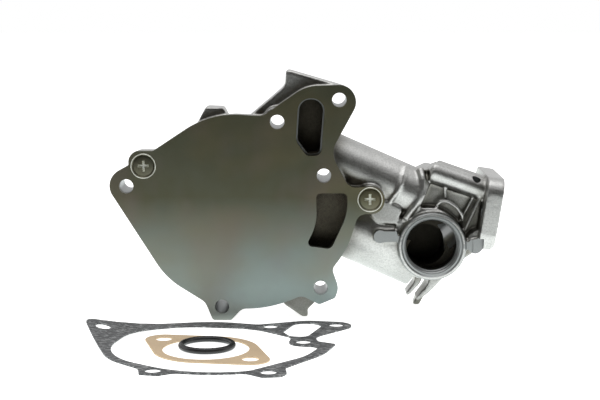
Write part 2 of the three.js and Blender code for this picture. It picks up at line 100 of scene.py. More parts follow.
LOWER_DUCT = {"offset": 12, "radius": 21, "bore": 15.5}
NECK_X, NECK_Y, NECK_Z = 113, 5, -26
NECK_R = 20.4
FLANGE_X, FLANGE_Y, FLANGE_Z = 147.2, 33, -6.5
FLANGE_TILT = math.radians(9)
FLANGE_BOLT = 24
TOWER_END = 88  # the bearing tower's far end along the shaft
STUD_CIRCLE_R, STUDS = 28, 4
SCREW_HOLE_R = 3.3
FINE, ROUND, SMALL = 96, 72, 24  # sides of large, middling and small round work


# ------------------------------------------------------------------ settings a user would change
class CastingSettings(bpy.types.PropertyGroup):
    voxel: FloatProperty(
        name="Voxel", description="Cell of the mesh that the casting is poured from, in metres",
        default=0.00075, min=0.0005, max=0.003, subtype="DISTANCE", unit="LENGTH")
    rounding: IntProperty(
        name="Rounding", description="Smoothing passes that make the casting's fillets",
        default=6, min=0, max=30)
    colour: FloatVectorProperty(
        name="Colour", description="Colour of the blasted aluminium", size=3, subtype="COLOR",
        default=(0.63, 0.63, 0.615), min=0, max=1)


class PlateSettings(bpy.types.PropertyGroup):
    edge: FloatProperty(
        name="Edge", description="Rounding of the pressed plate's edge, in metres",
        default=0.00035, min=0.0001, max=0.001, subtype="DISTANCE", unit="LENGTH")
    # The upper and lower colours paint a reflection: dark olive at the plate's top, light green grey at its
    # foot.
    upper: FloatVectorProperty(
        name="Upper colour", description="Passivated zinc at the plate's top", size=3, subtype="COLOR",
        default=(0.115, 0.115, 0.075), min=0, max=1)
    lower: FloatVectorProperty(
        name="Lower colour", description="Passivated zinc at the plate's foot", size=3, subtype="COLOR",
        default=(0.3, 0.36, 0.35), min=0, max=1)


class SealSettings(bpy.types.PropertyGroup):
    fibre: FloatVectorProperty(
        name="Fibre", description="Colour of the fibre gasket", size=3, subtype="COLOR",
        default=(0.075, 0.077, 0.08), min=0, max=1)
    card: FloatVectorProperty(
        name="Card", description="Colour of the card gasket", size=3, subtype="COLOR",
        default=(0.78, 0.6, 0.4), min=0, max=1)
    curl: FloatProperty(
        name="Curl", description="How far the fibre gasket's long corner lifts off the floor, in metres",
        default=0.0072, min=0, max=0.02, subtype="DISTANCE", unit="LENGTH")


class StageSettings(bpy.types.PropertyGroup):
    lens: FloatProperty(
        name="Lens", description="Focal length in millimetres", default=86.4, min=20, max=200)
    distance: FloatProperty(
        name="Distance", description="Camera to the middle of the plate's plane, in metres",
        default=0.85, min=0.3, max=3, subtype="DISTANCE", unit="LENGTH")
    pitch: FloatProperty(
        name="Pitch", description="How far the camera looks down", default=math.radians(8.2), min=0,
        max=math.radians(80), subtype="ANGLE", unit="ROTATION")


# ------------------------------------------------------------------ outlines
def rounded(corners, chord=1.2):
    """Points round an outline whose corners are rounded by tangent arcs."""
    points = []
    for i, (x, z, radius) in enumerate(corners):
        corner = Vector((x, z))
        to_last = (Vector(corners[i - 1][:2]) - corner).normalized()
        to_next = (Vector(corners[(i + 1) % len(corners)][:2]) - corner).normalized()
        half = math.acos(max(-1, min(1, to_last.dot(to_next)))) / 2
        bisector = (to_last + to_next).normalized()
        centre = corner + bisector * (radius / math.sin(half))
        start = corner + to_last * (radius / math.tan(half)) - centre
        end = corner + to_next * (radius / math.tan(half)) - centre
        turn = math.atan2(start.x * end.y - start.y * end.x, start.dot(end))
        steps = max(3, math.ceil(abs(turn) * radius / chord))
        for k in range(steps + 1):
            angle = turn * k / steps
            points.append(centre + Matrix.Rotation(angle, 2) @ start)
    return points


def inset(corners, distance):
    """The same corners drawn in by a distance; a negative one draws them out."""
    moved = []
    for i, (x, z, radius) in enumerate(corners):
        corner = Vector((x, z))
        arrive = (corner - Vector(corners[i - 1][:2])).normalized()
        leave = (Vector(corners[(i + 1) % len(corners)][:2]) - corner).normalized()
        inward = Vector((arrive.y + leave.y, -arrive.x - leave.x))
        corner += inward * (distance / (1 + arrive.dot(leave)))
        convex = arrive.x * leave.y - arrive.y * leave.x < 0
        moved.append((corner.x, corner.y, max(0.3, radius - (distance if convex else -distance))))
    return moved


# ------------------------------------------------------------------ solids, built in millimetres
def new_object(name, mesh):
    made = bpy.data.objects.new(name, mesh)
    bpy.context.scene.collection.objects.link(made)
    return made


def from_bmesh(name, bm):
    bmesh.ops.recalc_face_normals(bm, faces=bm.faces)
    mesh = bpy.data.meshes.new(name)
    bm.to_mesh(mesh)
    bm.free()
    return new_object(name, mesh)


def prism(points, y0, y1):
    """A prism along +Y from points in the X-Z plane."""
    bm = bmesh.new()
    face = bm.faces.new([bm.verts.new((p[0], y0, p[1])) for p in points])
    swept = bmesh.ops.extrude_face_region(bm, geom=[face])["geom"]
    far_end = [v for v in swept if isinstance(v, bmesh.types.BMVert)]
    bmesh.ops.translate(bm, verts=far_end, vec=(0, y1 - y0, 0))
    return from_bmesh("prism", bm)


def slab(corners, y0, y1, chord=1.2):
    return prism(rounded(corners, chord), y0, y1)


def lathe(profile, sides=64):
    """A body of revolution about the Y axis from a closed list of (radius, y)."""
    on_axis = 1e-6
    angles = [2 * math.pi * k / sides for k in range(sides)]
    bm = bmesh.new()
    rings = []
    for radius, y in profile:
        spokes = angles[:1] if radius < on_axis else angles
        rings.append([bm.verts.new((radius * math.sin(a), y, radius * math.cos(a))) for a in spokes])
    for a, b in zip(rings, rings[1:] + rings[:1]):
        for k in range(sides):
            j = (k + 1) % sides
            corners = [a[k % len(a)], a[j % len(a)], b[j % len(b)], b[k % len(b)]]
            unique = list(dict.fromkeys(corners))
            if len(unique) > 2:
                bm.faces.new(unique)
    return from_bmesh("lathe", bm)


def disc_profile(radius, y0, y1, end_radius=None):
    return [(0, y0), (radius, y0), (radius if end_radius is None else end_radius, y1), (0, y1)]


def place(piece, *turns):
    """Moves a solid's vertices by each matrix in order."""
    for turn in turns:
        piece.data.transform(turn)
    return piece


def rod_y(x, z, radius, y0, y1, end_radius=None, sides=40):
    return place(lathe(disc_profile(radius, y0, y1, end_radius), sides), Matrix.Translation((x, 0, z)))


def rod(start, end, radius, end_radius=None, sides=56):
    start, end = Vector(start), Vector(end)
    axis = end - start
    made = lathe(disc_profile(radius, 0, axis.length, end_radius), sides)
    turn = Vector((0, 1, 0)).rotation_difference(axis).to_matrix().to_4x4()
    return place(made, turn, Matrix.Translation(start))


def box(low, high):
    bm = bmesh.new()
    bmesh.ops.create_cube(bm, size=1)
    size = Vector(high) - Vector(low)
    bmesh.ops.scale(bm, vec=size, verts=bm.verts)
    bmesh.ops.translate(bm, vec=(Vector(low) + Vector(high)) / 2, verts=bm.verts)
    return from_bmesh("box", bm)


def about_shaft(piece, angle):
    return place(piece, Matrix.Rotation(angle, 4, "Y"))


def around(count, make, start=0.0):
    return [make(start + 2 * math.pi * i / count) for i in range(count)]


def on_arm(along, offset, y):
    """Distance along the hose arm, height above its line through the shaft, depth."""
    c, s = math.cos(ARM_SLOPE), math.sin(ARM_SLOPE)
    return (along * c - offset * s, y, along * s + offset * c)


# ------------------------------------------------------------------ joining, cutting and finishing
def settle(piece):
    """Applies every modifier on a piece."""
    bpy.context.view_layer.update()
    shown = piece.evaluated_get(bpy.context.evaluated_depsgraph_get())
    mesh = bpy.data.meshes.new_from_object(shown)
    old = piece.data
    piece.modifiers.clear()
    piece.data = mesh
    bpy.data.meshes.remove(old)
    return piece


def discard(pieces):
    for piece in pieces:
        mesh = piece.data
        bpy.data.objects.remove(piece)
        bpy.data.meshes.remove(mesh)


def combined(base, others, operation):
    for other in others:
        step = base.modifiers.new("step", "BOOLEAN")
        step.operation = operation
        step.solver = "MANIFOLD"
        step.material_mode = "TRANSFER"
        step.object = other
    settle(base)
    discard(others)
    return base


def joined(pieces):
    return combined(pieces[0], pieces[1:], "UNION")


def cut(base, tools):
    return combined(base, [joined(tools)] if len(tools) > 1 else tools, "DIFFERENCE")


def softened(piece, width, angle=35, segments=2, slot=-1):
    """Rounds the edges that are sharper than an angle in degrees, if asked in another material slot."""
    step = piece.modifiers.new("edges", "BEVEL")
    step.width = width
    step.segments = segments
    step.limit_method = "ANGLE"
    step.angle_limit = math.radians(angle)
    step.material = slot
    return settle(piece)


def finished(piece, name, body, material, nodes, smooth=25):
    """Scales a piece to metres, names it, shades it, gives it a material if one is passed, parents it to its
    body's empty and hides the CAD nodes it replaces.
    """
    piece.name = name
    piece.data.name = name
    piece.data.transform(Matrix.Scale(MM, 4))
    piece.data.shade_smooth()
    piece.data.set_sharp_from_angle(angle=math.radians(smooth))
    if material:
        piece.data.materials.clear()
        piece.data.materials.append(material)
    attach(piece, body)
    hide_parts(*nodes)
    return piece


# ------------------------------------------------------------------ shader maths
class Wire:
    """A shader socket that can be used in sums."""

    def __init__(self, finish, socket):
        self.finish = finish
        self.socket = socket

    def _sum(self, operation, a, b):
        return self.finish.node("ShaderNodeMath", {"operation": operation}, {0: a, 1: b})

    def __add__(self, other):
        return self._sum("ADD", self, other)

    def __radd__(self, other):
        return self._sum("ADD", other, self)

    def __sub__(self, other):
        return self._sum("SUBTRACT", self, other)

    def __rsub__(self, other):
        return self._sum("SUBTRACT", other, self)

    def __mul__(self, other):
        return self._sum("MULTIPLY", self, other)

    def __rmul__(self, other):
        return self._sum("MULTIPLY", other, self)


OBJECT_COORDINATES, GENERATED_COORDINATES = 3, 0  # outputs of the Texture Coordinate node


class Finish:
    """A node tree being wired: a material's or the world's."""

    def __init__(self, tree):
        self.tree = tree
        tree.nodes.clear()

    def node(self, kind, settings=None, inputs=None, output=0):
        """One node: its settings first, then the values or wires of its sockets."""
        made = self.tree.nodes.new(kind)
        for key, value in (settings or {}).items():
            if key == "stops":
                self._stops(made.color_ramp, value)
            else:
                setattr(made, key, value)
        for key, value in (inputs or {}).items():
            if isinstance(value, Wire):
                self.tree.links.new(value.socket, made.inputs[key])
            else:
                made.inputs[key].default_value = value
        return Wire(self, made.outputs[output]) if made.outputs else None

    @staticmethod
    def _stops(ramp, stops):
        while len(ramp.elements) > len(stops):
            ramp.elements.remove(ramp.elements[-1])
        while len(ramp.elements) < len(stops):
            ramp.elements.new(1)
        for element, (position, colour) in zip(ramp.elements, stops):
            element.position = position
            element.color = (*colour, 1)

    def axis(self, name, source=OBJECT_COORDINATES):
        """One coordinate, in metres on an object or as a direction's part in the world."""
        where = self.node("ShaderNodeTexCoord", output=source)
        return self.node("ShaderNodeSeparateXYZ", {}, {0: where}, output="xyz".index(name))

    def spread(self, value, low, high, to_low, to_high):
        """A value moved from one range to another and held inside it."""
        sockets = {0: value, 1: low, 2: high, 3: to_low, 4: to_high}
        return self.node("ShaderNodeMapRange", {"clamp": True}, sockets)

    def noise(self, scale, detail=3.0, roughness=0.55, stretch=(1, 1, 1)):
        """Noise on the object, its scale in cells to the metre, squeezed along each axis by stretch."""
        where = self.node("ShaderNodeTexCoord", output=OBJECT_COORDINATES)
        placed = self.node("ShaderNodeMapping", {}, {"Vector": where, "Scale": stretch})
        return self.node("ShaderNodeTexNoise", {}, {
            "Vector": placed, "Scale": scale, "Detail": detail, "Roughness": roughness})

    def open_sky(self, reach):
        """How open a point is within a reach in metres: 0 in a deep corner, 1 on the flat."""
        return self.node("ShaderNodeAmbientOcclusion", {"samples": 8}, {"Distance": reach}, output=1)

    def ramp(self, value, stops):
        return self.node("ShaderNodeValToRGB", {"stops": stops}, {"Fac": value})

    def blend(self, amount, first, second):
        """A colour between two, through the Mix node's colour sockets."""
        first, second = (c if isinstance(c, Wire) else (*c, 1) for c in (first, second))
        return self.node("ShaderNodeMix", {"data_type": "RGBA"}, {0: amount, 6: first, 7: second}, output=2)

    def bump(self, height, strength, depth):
        return self.node("ShaderNodeBump", {}, {"Height": height, "Strength": strength, "Distance": depth})

    def shader(self, **inputs):
        """A principled shader. Names are its own sockets with underscores for spaces."""
        named = {key.replace("_", " "): value for key, value in inputs.items()}
        return self.node("ShaderNodeBsdfPrincipled", {}, named)

    def surface(self, **inputs):
        """The material's closing principled shader."""
        self.node("ShaderNodeOutputMaterial", {}, {"Surface": self.shader(**inputs)})


def new_material(name, wire_up):
    """A material wired once; the prefix keeps it apart from the CAD's plain ones."""
    name = f"finish_{name}"
    material = bpy.data.materials.get(name)
    if material is None:
        material = bpy.data.materials.new(name)
        material.use_nodes = True
        wire_up(Finish(material.node_tree))
    return material


def grey(value):
    return (value, value, value)


def toned(colour, *tones):
    """A colour times one tone, or times a tone for each of red, green and blue."""
    return tuple(c * tone for c, tone in zip(colour, tones if len(tones) == 3 else tones * 3))


def cast_aluminium(colour):
    """Shot-blasted casting: fine grain, soft mottling and darker skin in places, with painted shade darkening
    its corners and recesses to a warm brown.
    """
    def wire_up(f):
        grain = f.noise(1050, 3, 0.7)
        pits = f.noise(420, 2, 0.5)
        cloud = f.noise(38, 4, 0.6)
        skin = f.ramp(cloud, [(0.35, grey(0.0)), (0.68, grey(1.0))])
        specks = f.ramp(grain, [(0.36, grey(1.0)), (0.56, grey(0.0))])
        # Painted shade: ambient occlusion turns the colour dark warm brown in corners and recesses.
        corners = f.ramp(f.open_sky(0.014), [(0.45, grey(0.92)), (0.94, grey(0.0))])
        base = f.blend(skin, toned(colour, 0.8), colour)
        base = f.blend(specks * 0.45, base, toned(colour, 0.45))
        base = f.blend(corners, base, toned(colour, 0.2, 0.19, 0.16))
        f.surface(
            Base_Color=base, Metallic=0.95, Roughness=0.22 + cloud * 0.1 + grain * 0.1,
            Normal=f.bump(grain * 0.8 + pits * 0.6, 0.8, 0.00016))
    return new_material("cast_aluminium", wire_up)


def cast_passage(name, colour):
    """The rough skin of a water passage, dulled by the sand core, with painted shade making it dark in its
    depths.
    """
    def wire_up(f):
        grain = f.noise(700, 3, 0.65)
        # Painted shade: ambient occlusion takes the colour to near black deep in the passages.
        depths = f.ramp(f.open_sky(0.03), [(0.16, grey(1)), (0.6, grey(0))])
        base = f.blend(grain * 0.6, toned(colour, 0.78, 0.7, 0.55), toned(colour, 0.34, 0.3, 0.24))
        base = f.blend(depths, base, (0.01, 0.009, 0.006))
        f.surface(
            Base_Color=base, Metallic=0.85, Roughness=0.5 + grain * 0.15,
            Normal=f.bump(grain, 0.5, 0.0003))
    return new_material(name, wire_up)


def machined_aluminium():
    """Faces and bores left by a cutter, with its fine marks."""
    def wire_up(f):
        marks = f.noise(2600, 2, 0.5, (1, 0.12, 1))
        f.surface(
            Base_Color=f.blend(marks, (0.27, 0.28, 0.28), (0.36, 0.37, 0.37)), Metallic=0.95,
            Roughness=0.26 + marks * 0.16,
            Normal=f.bump(marks, 0.25, 0.0001))
    return new_material("machined_aluminium", wire_up)


def zinc_steel(upper, lower):
    """Rolled sheet under a passivated zinc film with a faint colour play, painted dark olive at the top and
    light green grey at the foot as a painted reflection of the dark room above and the pale floor below.
    """
    def wire_up(f):
        film = f.noise(21, 3, 0.6)
        # Painted reflection: the colour runs from light green grey at the foot to dark olive at the top,
        # broken up by the film noise.
        height = f.spread(f.axis("z"), -0.05, 0.005, 0.0, 1.0)
        film_and_painted_reflection = f.spread(height + (film * 0.3 - 0.15), 0, 1, 0, 1)
        gold = f.ramp(f.noise(17, 2, 0.5, (1, 1, 1.3)), [(0.46, grey(0)), (0.66, grey(0.32))])
        rose = f.ramp(f.noise(26, 2, 0.5, (1.4, 1, 1)), [(0.48, grey(0)), (0.68, grey(0.18))])
        grain = f.noise(1900, 2, 0.6, (1, 1, 0.5))
        patch = f.noise(60, 3, 0.6)
        base = f.blend(film_and_painted_reflection, lower, upper)
        base = f.blend(gold, base, (0.24, 0.19, 0.1))
        base = f.blend(rose, base, (0.23, 0.16, 0.17))
        f.surface(
            Base_Color=base, Metallic=0.9, Roughness=0.3 + patch * 0.1 + grain * 0.06,
            Normal=f.bump(grain, 0.22, 0.00012))
    return new_material("zinc_steel", wire_up)


def bright_zinc_and_painted_highlight():
    """Plain bright zinc for the studs, also laid on the plate's edge bevel, the countersinks' lips and the
    screws' crosses as a painted highlight.
    """
    def wire_up(f):
        grain = f.noise(2200, 2, 0.5)
        base = f.blend(grain, (0.66, 0.66, 0.58), (0.8, 0.8, 0.74))
        f.surface(
            Base_Color=base, Metallic=0.95, Roughness=0.24 + grain * 0.12,
            Normal=f.bump(grain, 0.1, 0.0001))
    return new_material("bright_zinc_and_painted_highlight", wire_up)


def turned_steel(name, colour, roughness):
    """Turned and ground steel with fine marks about the shaft."""
    def wire_up(f):
        marks = f.noise(1700, 2, 0.5, (0.08, 1, 0.08))
        patch = f.noise(90, 3, 0.6)
        base = f.blend(patch, colour, toned(colour, 0.8))
        f.surface(
            Base_Color=base, Metallic=0.95, Roughness=roughness + marks * 0.1,
            Normal=f.bump(marks, 0.2, 0.0001))
    return new_material(name, wire_up)


def black_rubber():
    """Moulded nitrile rubber with a faint bloom."""
    def wire_up(f):
        skin = f.noise(700, 3, 0.6)
        bloom = f.ramp(f.noise(60, 3, 0.6), [(0.4, (0.004, 0.004, 0.0045)), (0.75, (0.013, 0.013, 0.014))])
        f.surface(
            Base_Color=bloom, Roughness=0.3 + skin * 0.16, Specular_IOR_Level=0.6,
            Normal=f.bump(skin, 0.15, 0.0001))
    return new_material("black_rubber", wire_up)


def fibre_sheet(colour):
    """Graphite fibre sheet: dark, matt, with short pale fibres lying mostly one way."""
    def wire_up(f):
        fleck = f.noise(620, 4, 0.7, (0.45, 1.5, 1))
        pale = f.ramp(fleck, [(0.5, grey(0)), (0.64, grey(1))])
        cloud = f.noise(70, 3, 0.6)
        base = f.blend(cloud, colour, toned(colour, 1.7))
        base = f.blend(pale * 0.8, base, (0.55, 0.56, 0.56))
        f.surface(
            Base_Color=base, Roughness=0.62 + fleck * 0.2, Specular_IOR_Level=0.35,
            Normal=f.bump(fleck, 0.5, 0.00015))
    return new_material("fibre_sheet", wire_up)


def oiled_card(colour):
    """Oiled gasket card: tan, faintly stained, with a pulp grain."""
    def wire_up(f):
        pulp = f.noise(900, 4, 0.65)
        stain = f.noise(48, 3, 0.6)
        base = f.blend(stain, toned(colour, 0.86), toned(colour, 1.12))
        base = f.blend(pulp * 0.3, base, toned(colour, 0.7))
        f.surface(
            Base_Color=base, Roughness=0.7 + pulp * 0.15, Specular_IOR_Level=0.3,
            Normal=f.bump(pulp, 0.35, 0.00012))
    return new_material("oiled_card", wire_up)


def plain_finish(name, colour, metallic, roughness, scale):
    """A hidden piece's finish: its colour with a fine grain in gloss and height."""
    def wire_up(f):
        grain = f.noise(scale, 3, 0.6)
        base = f.blend(grain, colour, toned(colour, 0.75))
        f.surface(
            Base_Color=base, Metallic=metallic, Roughness=roughness + grain * 0.12,
            Normal=f.bump(grain, 0.25, 0.0001))
    return new_material(name, wire_up)


# ------------------------------------------------------------------ casting
def volute_parts():
    """The case behind the plate: rim, stepped back, dome, bolt lugs and the foot under the lowest lug."""
    rim_back, step_back, lug_back, foot_back = 22, 27.5, 28, 56
    dome = lathe([(0, 24), (50, 24), (49, 28.5), (42, 33), (30, 36.5), (0, 36.5)], FINE)
    x, z = BOTTOM_BOLT
    foot_half = 4.5
    parts = [
        slab(inset(PLATE_OUTLINE, 0.9), CASE_Y, rim_back),
        slab(inset(PLATE_OUTLINE, 4.5), rim_back - 1, step_back),
        place(dome, Matrix.Translation((-2, 0, -3))),
        rod_y(x, z, 8.0, CASE_Y, foot_back),
        box((x - foot_half, CASE_Y, FLOOR_Z), (x + foot_half, foot_back, z)),
    ]
    parts += [rod_y(*bolt, 8.6, CASE_Y, lug_back, 7.8) for bolt in BOLTS if bolt != BOTTOM_BOLT]
    return parts


def tower_parts():
    """The bearing tower: a wide seal housing, a tapered bearing tube and six webs."""
    half_web = 2.4
    upright = Matrix(((1, 0, 0, 0), (0, 0, 1, 0), (0, -1, 0, 0), (0, 0, 0, 1)))

    def web(angle):
        made = prism([(15, 26), (45, 26), (43, 31), (25, 60), (22.5, 78), (15, 80)], -half_web, half_web)
        return about_shaft(place(made, upright), angle)
    return [
        lathe([(0, 25), (35, 25), (33.5, 44), (30, 47.5), (0, 47.5)], FINE),
        lathe([(0, 40), (22, 40), (20.6, TOWER_END - 1.5), (19.8, TOWER_END), (0, TOWER_END)], FINE),
        *around(6, web, math.pi / 6),
    ]


def lug_parts():
    top_lug = [(2, 50, 2), (17.5, 63, 6), (25, 69.5, 6), (25.5, 79.4, 2), (61, 69, 4), (60, 52, 4),
               (30, 40, 4)]
    left_lug = [(-28, 46, 1), (-22, 57, 1.5), (-11.5, 56.6, 1.5), (-9, 52, 2), (-9, 42, 1)]
    right_foot = [(22, -56, 1), (24.5, -62, 1), (35.5, FLOOR_Z, 0.8), (39, FLOOR_Z, 0.8), (38.5, -65, 1.5),
                  (43.5, -60, 1), (42, -48, 1), (20, -48, 1)]
    return [slab(top_lug, 13, 29), slab(left_lug, 12, 30), slab(right_foot, 9, 24)]


def ridge(radius, points):
    """A raised round bead through a list of points."""
    return [rod(start, end, radius, sides=20) for start, end in zip(points, points[1:])]


def arm_parts():
    """The two ducts of the hose arm, the web between them and the ridges across it."""
    upper, lower = UPPER_DUCT, LOWER_DUCT
    web = [(62, 22, 2), (96, 8, 2), (112, -26, 2), (100, -36, 2), (66, -22, 2), (56, -6, 2)]
    strut_pad = [(72, -2, 2), (83, 2, 2), (96, -3.5, 3), (91.5, -13.5, 3), (80, -12, 2)]
    return [
        rod(on_arm(34, upper["offset"], 24), on_arm(98, upper["offset"], 24), upper["radius"]),
        rod(on_arm(24, lower["offset"], 29), on_arm(112, lower["offset"], 29), lower["radius"]),
        slab(web, 14, 40),
        rod_y(*SCREWS["right"], 8, CASE_Y, 20, 9),
        slab(strut_pad, 9.5, 24),
        *ridge(1.3, [
            (97.2, 17.5, 21), (95.8, 11.6, 16.5), (94, 9, 11), (91.5, 8.6, 6), (88.5, 10, 1.5),
            (85.8, 13, -2.5)]),
        *ridge(2.2, [
            (106, 17, 19.5), (107.4, 12.5, 14), (106.8, 11, 8), (104.5, 10, 1.5), (101, 9.5, -4),
            (97, 10, -10)]),
    ]


def pocket_parts():
    """The thin webs in the pocket between the hose arm, the neck and the flange."""
    arch = [(115.8, 14, -5), (116.2, 11.5, -1.5), (118, 11, 0.8), (122.5, 11, 0.6), (127.8, 11, -2.8),
            (131, 11, -7.6), (131.5, 12, -11)]
    return [
        *ridge(1.25, arch),
        *ridge(1.2, [(120.8, 14.5, 9), (121.6, 14.5, 0)]),
        *ridge(1.2, [(131.5, 12, -20), (143, 12, 5), (144, 12, 9)]),
        *ridge(1.1, [(128.5, 15.5, -15), (139.5, 14.5, 5.5)]),
        *ridge(1.3, [(133, 17, 9), (139, 14.5, 5.5), (141, 13, 3)]),
    ]


def neck_parts():
    """The socket neck on its swollen root, with a round pad at each side."""
    pad_front, pad_back = 2, 30
    return [
        rod_y(NECK_X, NECK_Z, NECK_R, NECK_Y, 44, NECK_R + 1.5, ROUND),
        rod_y(NECK_X - 2.4, NECK_Z + 1.2, 21.8, 9.5, 40, sides=ROUND),
        rod_y(81.8, -19.8, 3.9, pad_front, pad_back),
        rod_y(138.6, -25.7, 4.4, pad_front, pad_back),
        box((82, pad_front, -23), (92, 26, -16.6)),
    ]


def fin_parts():
    """The foot and the fin that run down from the block."""
    foot = [(110, -40, 3), (127.5, -36, 4), (123, -49, 10), (115, -58, 10), (108.5, FLOOR_Z, 1),
            (104.5, FLOOR_Z, 0.8), (107.5, -62, 6), (113, -54, 6), (114, -46, 6)]
    foot_front = [*foot[:3], (115, -58, 9), (106.6, -64.5, 1), (105.2, -63, 0.8), *foot[7:]]
    fin = [(104, -40, 2), (111, -44, 2), (108.4, -53.5, 6), (100.8, -61.6, 0.8), (99, -60.2, 0.8),
           (105, -52.5, 6)]
    return [slab(foot, 43, 52), slab(foot_front, 30, 46), slab(fin, 32, 46)]


def block_parts():
    """The end block where the ducts, the neck and the outlet flange meet."""
    block = [(100, 14, 3), (112, 20, 4), (147, 8, 2), (148, -21, 3), (139, -32, 4), (127, -40, 8),
             (96, -44, 8)]
    brow = [(110.6, 24.6, 4), (141, 13.2, 3), (143, 5, 2), (112, 12.4, 3)]
    flange_web = [(138, -17, 2), (148.5, -14, 2), (147.5, -22, 4), (141, -29.5, 3), (134.5, -29.5, 2),
                  (134.4, -20, 2)]
    return [
        slab(block, 17.5, 50),
        slab(brow, 11.5, 26),
        rod((112.5, 15.8, 18.2), (144, 15.8, 7), 6.3),
        rod((115.5, 24, 17.5), (148, 24, 6.2), 7),
        rod((115.5, 54, 8), (150, 54, 0), 7),
        slab(flange_web, 7.5, 30),
    ]


def tilted(piece):
    """From the outlet flange's own frame, its face along +X, to its place."""
    to_place = Matrix.Translation((FLANGE_X, FLANGE_Y, FLANGE_Z))
    return place(piece, Matrix.Rotation(FLANGE_TILT, 4, "Y"), to_place)


def flange_parts():
    half_height = 21.9
    outline = [(-33, half_height, 6), (33, half_height, 10), (33, -half_height, 10), (-12, -half_height, 12),
               (-33, -8, 8)]
    plate = slab(outline, -4.6, 5.5)
    return [tilted(place(plate, Matrix.Rotation(math.radians(-90), 4, "Z")))]


def waterway_tools():
    """The cored hollows: volute mouth, impeller eye, top slot's pocket, both ducts and the outlet."""
    lower, upper = LOWER_DUCT, UPPER_DUCT
    eye = cut(rod_y(0, 0, 27, 20, 40, sides=ROUND), [rod_y(0, 0, 19, 19, 44, sides=ROUND)])
    front = CASE_Y - 1
    return [
        slab(MOUTH_OUTLINE, front, 21),
        eye,
        slab(inset(TOP_SLOT, 0.9), front, 22),
        rod((38, 14, 42), (14, 13, 22), 6.5),
        rod((12, 32, 4), on_arm(66, lower["offset"], 32), 8.5),
        rod(on_arm(64, lower["offset"], 31.5), on_arm(104, lower["offset"], 27), 8.5, lower["bore"]),
        rod(on_arm(46, upper["offset"], 24), on_arm(108, 40, 30), 9.5, upper["bore"]),
        tilted(rod((-44, 0, 0), (3, 0, 0), 13.5, 14.5, sides=ROUND)),
    ]


def neck_tools():
    """The neck's passage: a short wide mouth and the narrower, offset way behind it."""
    return [
        rod_y(NECK_X, NECK_Z, 15.2, 12, 20, sides=FINE),
        rod_y(NECK_X - 3.2, NECK_Z - 1, 12.6, 12, 42, sides=ROUND),
    ]


def drilled_tools():
    """Bored and drilled holes: seal seat, shaft way, drain chamber, bearing seat, drain, bolts and outlet."""
    drain_y = 43.2
    tools = [
        rod_y(0, 0, 15.02, 20, 39, sides=ROUND),
        rod_y(0, 0, 9.5, 38, 42),
        rod_y(0, 0, 13, 41, 46.1, sides=ROUND),
        rod_y(0, 0, 15.05, 46, 90, sides=ROUND),
        rod((0, drain_y, 0), (0, drain_y, -42), 2.1, sides=SMALL),
    ]
    tools += bolt_tools(BOLT_R, 0, 60)
    tools += [rod_y(x, z, 2.6, 0, 18, sides=SMALL) for x, z in SCREWS.values()]
    tools += [tilted(rod((-6.5, y, 0), (10, y, 0), 3.4, sides=32)) for y in (-FLANGE_BOLT, FLANGE_BOLT)]
    tools += [
        tilted(rod((0, 0, 0), (10, 0, 0), 16, sides=ROUND)),
        rod((139.5, 13.5, 11), (139.5, 9, 22), 2.6, sides=32),
        rod((120, 21, -23), (140, 44, -13), 8.5),
    ]
    return tools


def neck_turning():
    """The stepped socket turned into the neck, and the step turned round its rim."""
    steps = [(0, -2), (18.6, -2), (18.6, 0), (17.7, 1.0), (16.7, 1.0), (16.7, 2.4), (15.9, 3.2), (15.9, 5.4),
             (15.3, 6), (15.3, 8), (0, 8)]
    outside, rim = NECK_R + 4, NECK_R - 0.75
    collar = [(outside, -1), (outside, 1.2), (NECK_R + 0.15, 1.2), (rim, 0), (rim, -1)]
    return [
        place(lathe([(r, NECK_Y + y) for r, y in profile], FINE), Matrix.Translation((NECK_X, 0, NECK_Z)))
        for profile in (steps, collar)]


def trim_tools():
    """Cutters that face the plate joint, neck, pad and outlet flange flat and clear what stands proud."""
    joint_end, neck_end, front = 92.4, 134, -20
    return [
        box((-100, front, -100), (joint_end, CASE_Y, 100)),
        box((joint_end, front, -60), (neck_end, NECK_Y, 10)),
        box((neck_end, front, -31), (143.2, NECK_Y, -20.5)),
        *neck_turning(),
        tilted(box((5, -60, -60), (30, 60, 60))),
        box((-60, TOWER_END, -60), (60, TOWER_END + 22, 60)),
        prism([(154.4, -18.6), (165, -18.6), (165, -45), (133.6, -45)], 0, 80),
        box((-40, 0, FLOOR_Z - 20), (140, 80, FLOOR_Z)),
    ]


def bolt_tools(radius, y0, y1):
    return [rod_y(x, z, radius, y0, y1, sides=48) for x, z in BOLTS]


def lined(tools, material):
    """Gives cutters a material, which the faces they cut take over."""
    for tool in tools:
        tool.data.materials.clear()
        tool.data.materials.append(material)
    return tools


class PUMP_OT_casting(bpy.types.Operator):
    """Pour the aluminium body, round its fillets and machine its faces"""

    bl_idname = "pump.casting"
    bl_label = "Casting"

    def execute(self, context):
        settings = context.scene.pump_casting
        skin, turned = cast_aluminium(settings.colour), machined_aluminium()
        inside = cast_passage("cast_passage", settings.colour)
        # A copy of the passage finish at 0.12 of the colour: painted shade for the neck's dark passage.
        deep = cast_passage("painted_shade_passage", toned(settings.colour, 0.12))
        parts = volute_parts() + tower_parts() + lug_parts() + arm_parts() + block_parts() + neck_parts()
        body = joined(parts + fin_parts() + pocket_parts() + flange_parts())
        poured = body.modifiers.new("poured", "REMESH")
        poured.mode = "VOXEL"
        poured.voxel_size = settings.voxel / MM
        fillets = body.modifiers.new("fillets", "SMOOTH")
        fillets.factor = 0.5
        fillets.iterations = settings.rounding
        settle(body)
        lined([body], skin)
        cut(body, lined(waterway_tools(), inside))
        # The neck's passage takes the painted-shade copy of the passage finish.
        cut(body, lined(neck_tools(), deep))
        cut(body, lined(drilled_tools(), turned))
        for tool in lined(trim_tools(), turned):
            combined(body, [tool], "DIFFERENCE")
        finished(body, "cast_body", "housing", None, ["pump_body"], 40)
        return {"FINISHED"}


